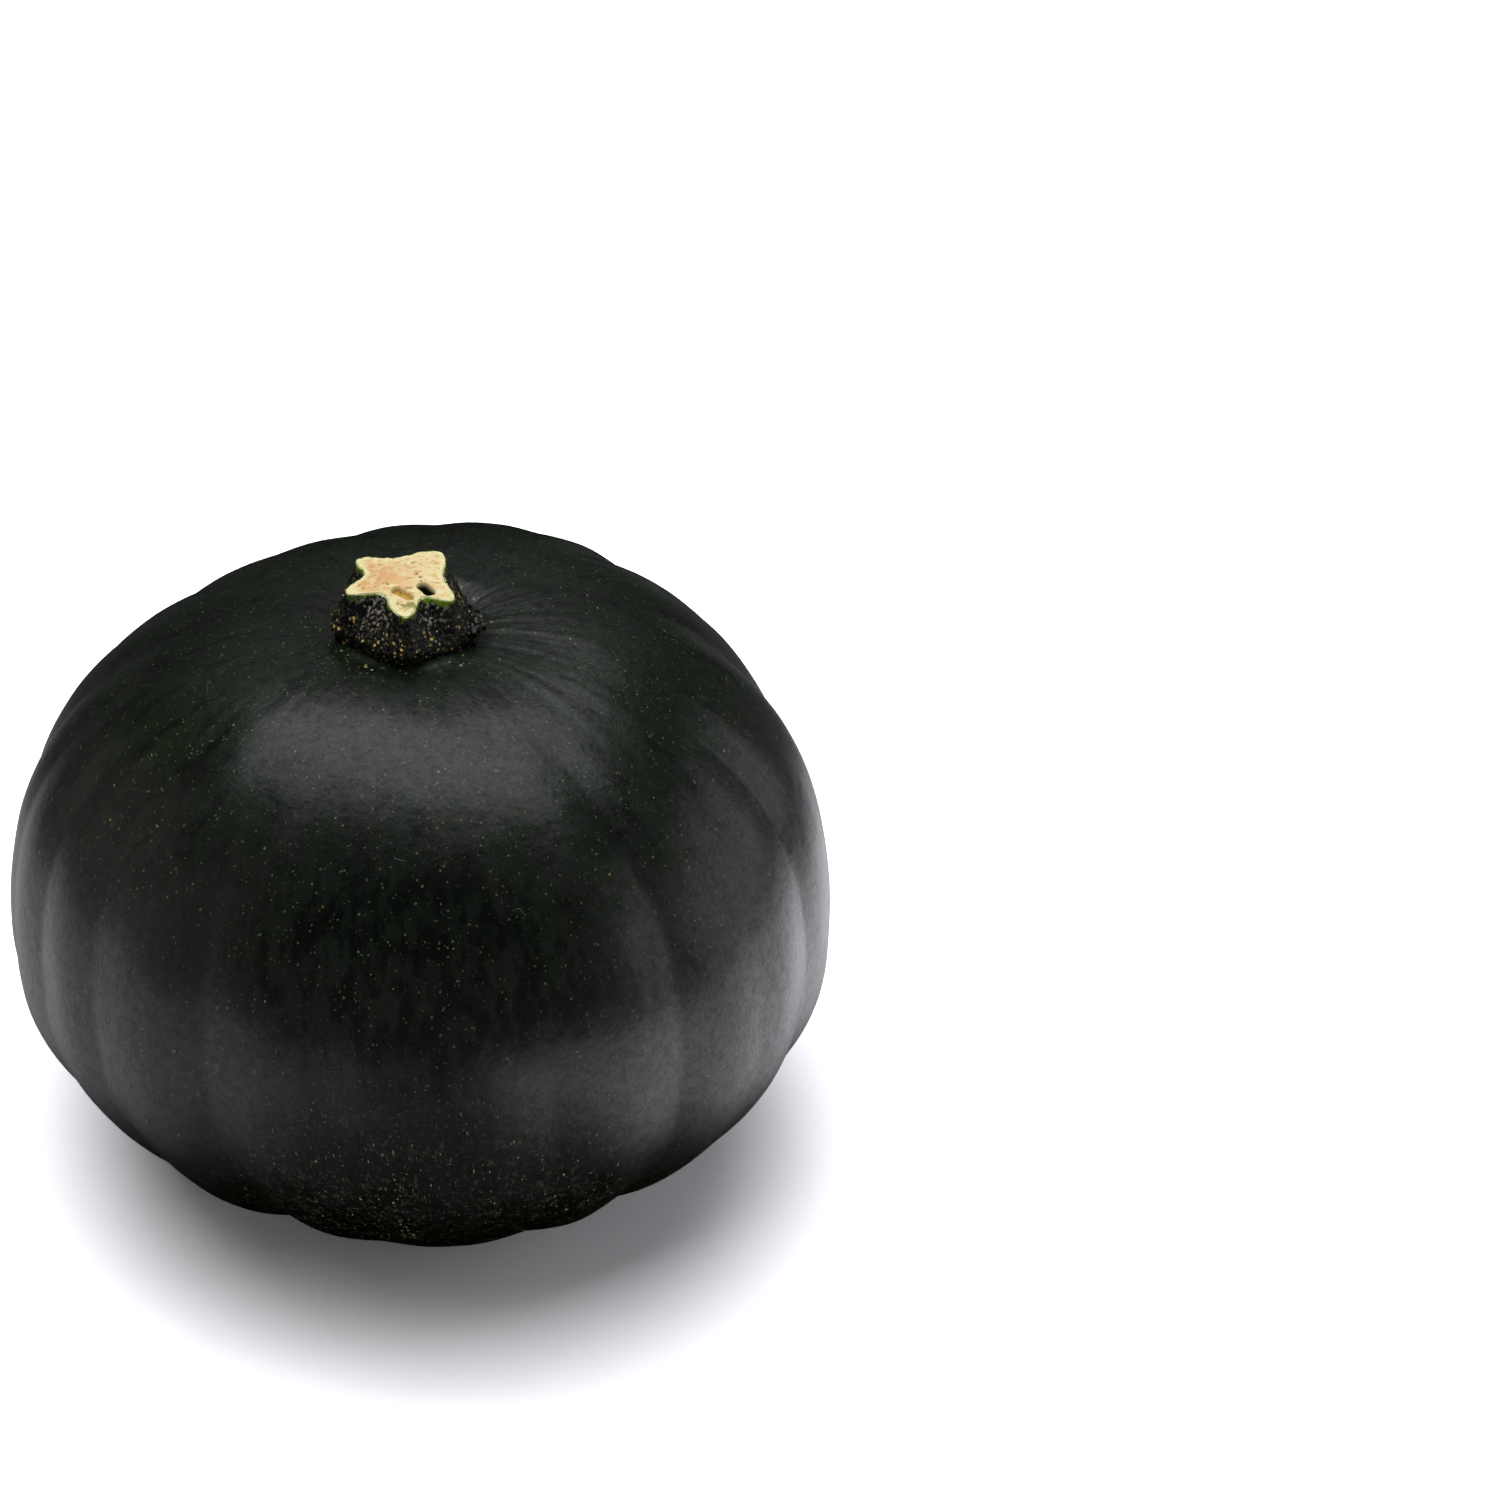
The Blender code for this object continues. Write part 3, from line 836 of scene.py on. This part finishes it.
CREAM = linear(198, 182, 138)
PEACH = linear(186, 140, 94)
PALE_RIM = linear(202, 198, 150)
PIT_BROWN = linear(142, 98, 26)
PIT_OLIVE = linear(150, 118, 36)
TORN_OLIVE_SHADE = linear(104, 108, 48)
TORN_CORNER = (1.2 * MM, -8.2 * MM, 1.7 * MM)
HOLE_PAINTED_SHADE = linear(20, 26, 14)
GREEN_RIND = linear(82, 106, 22)
BARK_BLACK = linear(9, 9, 9)
BARK_GREEN = linear(20, 24, 12)
CORK_AND_SHEEN_GREY = linear(112, 108, 96)
WART_TAN = linear(178, 148, 76)
PEACH_PLACE = (-4.6 * MM, 0.9 * MM, 5.6 * MM)
FIBRE_BUNDLE = 1.1 * MM
BUNDLE_RAGGED = (0.8 * MM, 0.5 * MM)
PIT_RAGGED = (0.5 * MM, 0.3 * MM)
WART_RAGGED = (0.6 * MM, 0.35 * MM)

# Clouds in the stalk's colours, as on the rind: peach ones and brown dashes on the cut, green and cork on
# the bark.
PEACH_CLOUDS = (1.5 * MM, 4.0, 0.54, 0.66)
BROWN_DASHES = (0.75 * MM, 4.0, 0.58, 0.68)
BARK_CLOUDS = (3.0 * MM, 4.0, 0.46, 0.66)
CORK_CLOUDS = (0.7 * MM, 5.0, 0.50, 0.66)
SHEEN_VALLEY = (12.6 * MM, 9.0 * MM)
TAN_WARTS = (0.95 * MM, (0.18 * MM, 0.52 * MM), 0.8)
TAN_STATIONS = (1.25, 1.75)
BARK_GRIT_AND_GLINTS = (0.5 * MM, (0.06 * MM, 0.13 * MM), 0.5)
PALE_STATIONS = (0.78, 0.96)
GREEN_STATIONS = (1.16, 1.00)
FLESH_STATIONS = (1.04, 1.015)
BARK_GRAIN = (0.45 * MM, 0.08 * MM, 4.0)
STALK_ROUGHNESS = 0.50
STALK_IOR = 1.30


def make_stalk_finish():
    material, start = start_material("stalk")
    spot = start.node("ShaderNodeAttribute", {"attribute_name": "spot"}, output="Vector")
    station = start.node("ShaderNodeAttribute", {"attribute_name": "station"}, output="Fac")
    x = part_of(spot, "X")
    y = part_of(spot, "Y")

    # The cut: cream, peach to the left of its middle, with brown pits, a hole painted dark as shade and a
    # yellow-green rim.
    peach = hill(length_of(x - PEACH_PLACE[0], y - PEACH_PLACE[1]), PEACH_PLACE[2])
    flesh = blend(peach * (0.35 + noise(spot, 1.8 * MM, 4.0) * 1.1), CREAM, PEACH)
    flesh = blend(clouds(spot, *PEACH_CLOUDS) * 0.6, flesh, PEACH)
    bundles = ragged(stretched(spot, 0.7, 1.0, 1.0), *BUNDLE_RAGGED)
    sockets = {"Vector": bundles, "Scale": 1.0 / FIBRE_BUNDLE}
    tone = bundles.node("ShaderNodeTexVoronoi", None, sockets, "Color")
    flesh = blend(ease(part_of(tone, "X"), 0.5, 1.0) * 0.5, flesh, PEACH)
    flesh = blend(ease(part_of(tone, "Y"), 0.6, 1.0) * 0.6, flesh, PALE_RIM)
    flesh = blend(pits(ragged(spot, *PIT_RAGGED), *FIBRE_PIT[1:]) * 0.9, flesh, PIT_BROWN)
    flesh = blend(clouds(stretched(spot, 0.4, 1.0, 1.0), *BROWN_DASHES) * 0.75, flesh, PIT_BROWN)
    flesh = blend(ease(station, *PALE_STATIONS) * 0.75, flesh, PALE_RIM)
    flesh = blend(ease(from_slot(x, y, PIT), PIT[2] * 1.1, PIT[2] * 0.7) * 0.85, flesh, PIT_OLIVE)
    # The torn corner: olive tissue, darkened as painted shade for a hollow that has no relief.
    torn_x, torn_y, torn_radius = TORN_CORNER
    torn_and_shade = length_of(x - torn_x, y - torn_y) / torn_radius + swing(spot, 0.9 * MM, 1.2, 4.0)
    flesh = blend(ease(torn_and_shade, 1.0, 0.6) * 0.8, flesh, TORN_OLIVE_SHADE)
    # Painted shade: the hole is coloured near-black, as its depth would look in shade.
    flesh = blend(ease(from_slot(x, y, HOLE), HOLE[2] * 1.1, HOLE[2] * 0.85), flesh, HOLE_PAINTED_SHADE)

    # The bark: black, grey cork, heaped up in the valleys as a painted sheen, and tan warts crowding towards
    # the foot.
    bark = blend(clouds(spot, *BARK_CLOUDS), BARK_BLACK, BARK_GREEN)
    cork = clouds(stretched(spot, 1.0, 1.0, 0.6), *CORK_CLOUDS)
    # Painted sheen: the grey grows towards the valleys between the ribs, where they catch a highlight.
    cork = cork * (0.12 + 0.8 * ease(length_of(x, y), *SHEEN_VALLEY))
    bark = blend(cork, bark, CORK_AND_SHEEN_GREY)
    warts, chance = flecks(ragged(spot, *WART_RAGGED), *TAN_WARTS)
    warts = warts * ease(station + swing(spot, 3.0 * MM, 0.4), *TAN_STATIONS)
    bark = blend(warts * 0.9, bark, blend(ease(chance, 0.35, 0.75), CORK_AND_SHEEN_GREY, WART_TAN))
    # Fine grey grit on the bark, which partly stands in as painted glints.
    grit_and_glints, _ = flecks(spot, *BARK_GRIT_AND_GLINTS)
    bark = blend(grit_and_glints * 0.8, bark, CORK_AND_SHEEN_GREY)
    under_rim = ease(station + swing(spot, 2.6 * MM, 0.35, 3.0), *GREEN_STATIONS)
    bark = blend(under_rim, bark, GREEN_RIND)
    edge = station + swing(spot, 1.2 * MM, 0.05, 3.0)
    colour = blend(ease(edge, *FLESH_STATIONS), bark, flesh)
    fibres = swing(spot, *BARK_GRAIN)
    bump = fibres.node("ShaderNodeBump", None, {"Strength": 1.0, "Distance": 1.0, "Height": fibres})
    shader = start.node(
        "ShaderNodeBsdfPrincipled",
        None,
        {"Base Color": colour, "Roughness": STALK_ROUGHNESS, "IOR": STALK_IOR, "Normal": bump},
    )
    finish_material(shader)
    return material


stump = make_stalk(make_stalk_finish())
stalk_low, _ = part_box("stalk")
stalk_shift = fruit_shift + Vector((*STALK_PLACE, stalk_low.z))
stump.data.transform(Matrix.Translation(stalk_shift))
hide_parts("stalk")
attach(stump, "root")


# The dry flakes
# Curled black scraps of dead bark and leaf base that still hang from the right side of the stalk's foot.
# They cling by a corner each, and their other ends lie on the skin.

FLAKE_COUNT = 26
FLAKE_RING = 14.2 * MM
FLAKE_ARC = (-34.0, 46.0)
FLAKE_SIZE = 1.45 * MM
FLAKE_SHAPE = (1.5, 0.6, 0.16)
FLAKE_SPREAD = ((-1.4 * MM, -1.2 * MM, -0.8 * MM), (1.8 * MM, 1.2 * MM, 3.4 * MM))
FLAKE_CURL = (0.75 * MM, 2.2 * MM)
FLAKE_TURNS = ((-0.9, -1.1, -3.1), (0.9, 0.5, 3.1))
FLAKE_SCALES = (0.35, 1.15)
FLAKE_CLOUDS = (0.9 * MM, 4.0, 0.52, 0.70)
FLAKE_BLACK = linear(6, 6, 6)
FLAKE_GREY = linear(70, 66, 58)

# Three ways to stretch one noise, so that it moves a scrap differently along each axis.
CURL_TURNS = ((1.0, 1.3, 0.8), (-0.9, 1.0, 1.2), (1.2, -0.8, 1.0))


def random_vector(start, low, high, seed):
    """A random vector for each point, between two corners."""
    return start.node("FunctionNodeRandomValue", {"data_type": "FLOAT_VECTOR"}, {0: low, 1: high, 8: seed})


def random_value(start, low, high, seed):
    return start.node("FunctionNodeRandomValue", {"data_type": "FLOAT"}, {2: low, 3: high, 8: seed}, 1)


def make_flakes(material):
    given = start_tree(
        "dry_flakes",
        {"Count": "NodeSocketInt", "Ring Radius": "NodeSocketFloat", "Flake Size": "NodeSocketFloat"},
    )
    count = given["Count"]
    arc = count.node(
        "GeometryNodeCurveArc",
        {"mode": "RADIUS"},
        {
            "Resolution": count,
            "Radius": given["Ring Radius"],
            "Start Angle": math.radians(FLAKE_ARC[0]),
            "Sweep Angle": math.radians(FLAKE_ARC[1]),
        },
    )
    points = arc.node("GeometryNodeCurveToPoints", {"mode": "EVALUATED"}, {"Curve": arc})
    points = nudge(points, random_vector(count, *FLAKE_SPREAD, 4))
    ball = count.node("GeometryNodeMeshIcoSphere", None, {"Radius": given["Flake Size"], "Subdivisions": 4})
    flat = ball.node("GeometryNodeTransform", None, {"Geometry": ball, "Scale": FLAKE_SHAPE})
    turn = random_vector(count, *FLAKE_TURNS, 9)
    scale = random_value(count, *FLAKE_SCALES, 2)
    shape = points.node(
        "GeometryNodeInstanceOnPoints",
        None,
        {"Points": points, "Instance": flat, "Rotation": turn, "Scale": scale},
    )
    shape = shape.node("GeometryNodeRealizeInstances", None, {"Geometry": shape})
    place = shape.node("GeometryNodeInputPosition")
    away = [swing(stretched(place, *turned), FLAKE_CURL[1], FLAKE_CURL[0], 3.0) for turned in CURL_TURNS]
    shape = nudge(shape, vector_of(*away))
    sizes = {"Count": FLAKE_COUNT, "Ring Radius": FLAKE_RING, "Flake Size": FLAKE_SIZE}
    return grow("dry_flakes", shape, sizes, material)


def make_flake_finish():
    material, start = start_material("dry_bark")
    place = start.node("ShaderNodeTexCoord", output="Object")
    colour = blend(clouds(place, *FLAKE_CLOUDS), FLAKE_BLACK, FLAKE_GREY)
    shader = start.node("ShaderNodeBsdfPrincipled", None, {"Base Color": colour, "Roughness": 0.38})
    finish_material(shader)
    return material


scraps = make_flakes(make_flake_finish())
scraps.data.transform(Matrix.Translation(stalk_shift))
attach(scraps, "root")


# The lint
# Fine pale hairs of dust and cloth that lie on the skin here and there, most of them on top.

LINT_DENSITY = 1500.0
LINT_HEIGHTS = (30.0 * MM, SHOULDER_HEIGHT)
HAIR_RADIUS = 0.024 * MM
HAIR_SHAPE = ((-1.6 * MM, 0.0, 0.04 * MM), (0.3 * MM, 0.9 * MM, 0.4 * MM), (1.6 * MM, -0.2 * MM, 0.04 * MM))
HAIR_SPIN = ((0.0, 0.0, 0.0), (0.0, 0.0, 6.28))
HAIR_SCALES = (0.15, 0.85)
HAIR_CURL = (0.5 * MM, 2.5 * MM)
HAIR_COLOUR = linear(132, 138, 134)


def make_lint(material):
    given = start_tree(
        "lint_hairs",
        {"Skin": "NodeSocketObject", "Density": "NodeSocketFloat", "Hair Radius": "NodeSocketFloat"},
    )
    skin_shape = given["Skin"].node("GeometryNodeObjectInfo", None, {"Object": given["Skin"]}, "Geometry")
    height = part_of(skin_shape.node("GeometryNodeInputPosition"), "Z")
    density = given["Density"] * ease(height, *LINT_HEIGHTS)
    spread = {"Mesh": skin_shape, "Density": density, "Seed": 5}
    points = skin_shape.node("GeometryNodeDistributePointsOnFaces", None, spread)
    facing = points.beside("Rotation")
    spin = random_vector(points, *HAIR_SPIN, 3)
    facing = facing.node(
        "FunctionNodeRotateRotation", {"rotation_space": "LOCAL"}, {"Rotation": facing, "Rotate By": spin}
    )
    start, middle, end = HAIR_SHAPE
    bend = {"Resolution": 12, "Start": start, "Middle": middle, "End": end}
    hair = points.node("GeometryNodeCurveQuadraticBezier", None, bend)
    section = hair.node(
        "GeometryNodeCurvePrimitiveCircle", None, {"Resolution": 5, "Radius": given["Hair Radius"]}
    )
    tube = {"Curve": hair, "Profile Curve": section, "Fill Caps": True}
    hair = hair.node("GeometryNodeCurveToMesh", None, tube)
    scale = random_value(points, *HAIR_SCALES, 6)
    shape = points.node(
        "GeometryNodeInstanceOnPoints",
        None,
        {"Points": points, "Instance": hair, "Rotation": facing, "Scale": scale},
    )
    shape = shape.node("GeometryNodeRealizeInstances", None, {"Geometry": shape})
    place = shape.node("GeometryNodeInputPosition")
    away = [swing(stretched(place, *turned), HAIR_CURL[1], HAIR_CURL[0], 1.0) for turned in CURL_TURNS]
    shape = nudge(shape, vector_of(*away))
    sizes = {"Skin": skin, "Density": LINT_DENSITY, "Hair Radius": HAIR_RADIUS}
    return grow("lint", shape, sizes, material)


def make_hair_finish():
    material, start = start_material("lint")
    finish_material(
        start.node("ShaderNodeBsdfPrincipled", None, {"Base Color": (*HAIR_COLOUR, 1.0), "Roughness": 0.7})
    )
    return material


hairs = make_lint(make_hair_finish())
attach(hairs, "root")


# The studio
# A white table that runs on as a white backdrop, a large soft light overhead, weaker ones in front, behind
# and at both sides, and the camera at the photograph's angle. None of it is part of the object.

PHOTO_SIDE = 1500.0
FRUIT_PIXEL = (424.4, 882.7)
FOCAL_PIXELS = 3400.0
SENSOR_WIDTH = 36.0
CAMERA_ELEVATION = 38.0
CAMERA_DISTANCE = 727.25 * MM
AIM_HEIGHT = 61.6 * MM


def make_camera():
    """Looks down at the fruit, and turns so that it falls on its own pixel of the picture."""
    across = math.atan((FRUIT_PIXEL[0] - PHOTO_SIDE / 2.0) / FOCAL_PIXELS)
    down = math.atan((FRUIT_PIXEL[1] - PHOTO_SIDE / 2.0) / FOCAL_PIXELS)
    tilt = Matrix.Rotation(math.radians(90.0 - CAMERA_ELEVATION) + down, 4, "X")
    turned = tilt @ Matrix.Rotation(across, 4, "Y")
    elevation = math.radians(CAMERA_ELEVATION)
    back = Vector((0.0, -math.cos(elevation), math.sin(elevation))) * CAMERA_DISTANCE
    data = bpy.data.cameras.new("camera")
    data.sensor_width = SENSOR_WIDTH
    data.lens = SENSOR_WIDTH * FOCAL_PIXELS / PHOTO_SIDE
    made = bpy.data.objects.new("camera", data)
    made.matrix_world = Matrix.Translation(Vector((0.0, 0.0, AIM_HEIGHT)) + back) @ turned
    bpy.context.scene.collection.objects.link(made)
    bpy.context.scene.camera = made


FLOOR_SIDE = 6.0
FLOOR_WHITE = 0.86
FLOOR_TINT = (0.99, 0.99, 1.03)
FLOOR_DROP = 0.05 * MM

# How much of the table the skin mirrors: little in front, and more to either side. Each side: where the
# sheen starts and where it is full, and how much it adds.
FRONT_SHEEN = 0.20
RIGHT_SHEEN = (66.0 * MM, 160.0 * MM, 1.55)
LEFT_SHEEN = (-56.0 * MM, -150.0 * MM, 0.50)
FOOT_SHEEN = (120.0 * MM, 420.0 * MM, 3.0)
BACK_SHEEN = (20.0 * MM, 260.0 * MM, 0.94)

# The table is shown brighter than it lights the fruit, as in a picture whose white is burnt out.
FLOOR_SHOWN = 1.75


def make_floor():
    half = FLOOR_SIDE / 2.0
    mesh = bpy.data.meshes.new("floor")
    corners = [(-half, -half, 0.0), (half, -half, 0.0), (half, half, 0.0), (-half, half, 0.0)]
    mesh.from_pydata([(x, y, z - FLOOR_DROP) for x, y, z in corners], [], [(0, 1, 2, 3)])
    material, start = start_material("floor_white")
    place = start.node("ShaderNodeTexCoord", output="Object")
    x = part_of(place, "X")
    sideways = ease(x, *RIGHT_SHEEN[:2]) * RIGHT_SHEEN[2] + ease(x, *LEFT_SHEEN[:2]) * LEFT_SHEEN[2]
    y = part_of(place, "Y")
    dimmed = (FRONT_SHEEN + sideways) * ease(length_of(x * FOOT_SHEEN[2], y), *FOOT_SHEEN[:2])
    dimmed = dimmed * (1.0 - ease(y, *BACK_SHEEN[:2]) * BACK_SHEEN[2])
    mirrored = start.node("ShaderNodeLightPath", output="Is Glossy Ray")
    seen = start.node("ShaderNodeLightPath", output="Is Camera Ray")
    strength = (1.0 + (dimmed - 1.0) * mirrored + (FLOOR_SHOWN - 1.0) * seen) * FLOOR_WHITE
    paint = stretched(vector_of(strength, strength, strength), *FLOOR_TINT)
    finish_material(start.node("ShaderNodeBsdfDiffuse", None, {"Color": paint}))
    mesh.materials.append(material)
    made = bpy.data.objects.new("floor", mesh)
    bpy.context.scene.collection.objects.link(made)


# Each light: its place and the point it faces, in metres, the sides of its panel, its power, its tint, and
# whether the skin mirrors it.
LIGHTS = {
    "overhead": ((-0.06, 0.40, 1.30), (-0.06, 0.40, 0.0), (1.42, 0.85), 9.0, (0.98, 1.0, 1.02), True),
    "front": ((0.0, -1.50, 0.55), (0.0, 0.0, 0.06), (2.60, 1.10), 0.9, (0.99, 1.0, 1.02), True),
    "right": ((1.30, 0.10, 0.45), (0.0, 0.0, 0.06), (1.40, 0.80), 3.0, (0.98, 1.0, 1.02), True),
    "left": ((-1.30, 0.10, 0.45), (0.0, 0.0, 0.06), (1.40, 0.80), 0.6, (1.0, 0.78, 0.76), True),
    "back": ((0.0, 1.25, 0.95), (0.0, 0.0, 0.10), (2.00, 0.80), 0.7, (0.98, 1.0, 1.02), True),
    "fill": ((-0.12, -0.06, 1.00), (0.0, 0.0, 0.0), (0.95, 0.95), 9.5, (1.0, 1.0, 1.0), False),
}


def make_light(name, place, target, sides, power, tint, mirrored):
    data = bpy.data.lights.new(name, "AREA")
    data.shape = "RECTANGLE"
    data.size, data.size_y = sides
    data.energy = power
    data.color = tint
    made = bpy.data.objects.new(name, data)
    made.visible_glossy = mirrored
    made.location = place
    made.rotation_mode = "QUATERNION"
    made.rotation_quaternion = (Vector(target) - Vector(place)).to_track_quat("-Z", "Y")
    bpy.context.scene.collection.objects.link(made)


ROOM_LIGHT = 0.18
ROOM_SHEEN = 0.07
BACKDROP_LIGHT = 1.05


def make_world():
    """White where the camera sees past the table, and dimmer as the light that the room gives back."""
    world = bpy.data.worlds.new("room")
    world.use_nodes = True
    world.node_tree.nodes.clear()
    start = Wire(world.node_tree)
    seen = start.node("ShaderNodeLightPath", output="Is Camera Ray")
    mirrored = start.node("ShaderNodeLightPath", output="Is Glossy Ray")
    strength = ROOM_LIGHT + (BACKDROP_LIGHT - ROOM_LIGHT) * seen + (ROOM_SHEEN - ROOM_LIGHT) * mirrored
    light = seen.node("ShaderNodeBackground", None, {"Strength": strength})
    light.node("ShaderNodeOutputWorld", None, {"Surface": light})
    bpy.context.scene.world = world


make_camera()
make_floor()
for light_name, light_facts in LIGHTS.items():
    make_light(light_name, *light_facts)
make_world()
bpy.context.scene.view_settings.view_transform = "Standard"
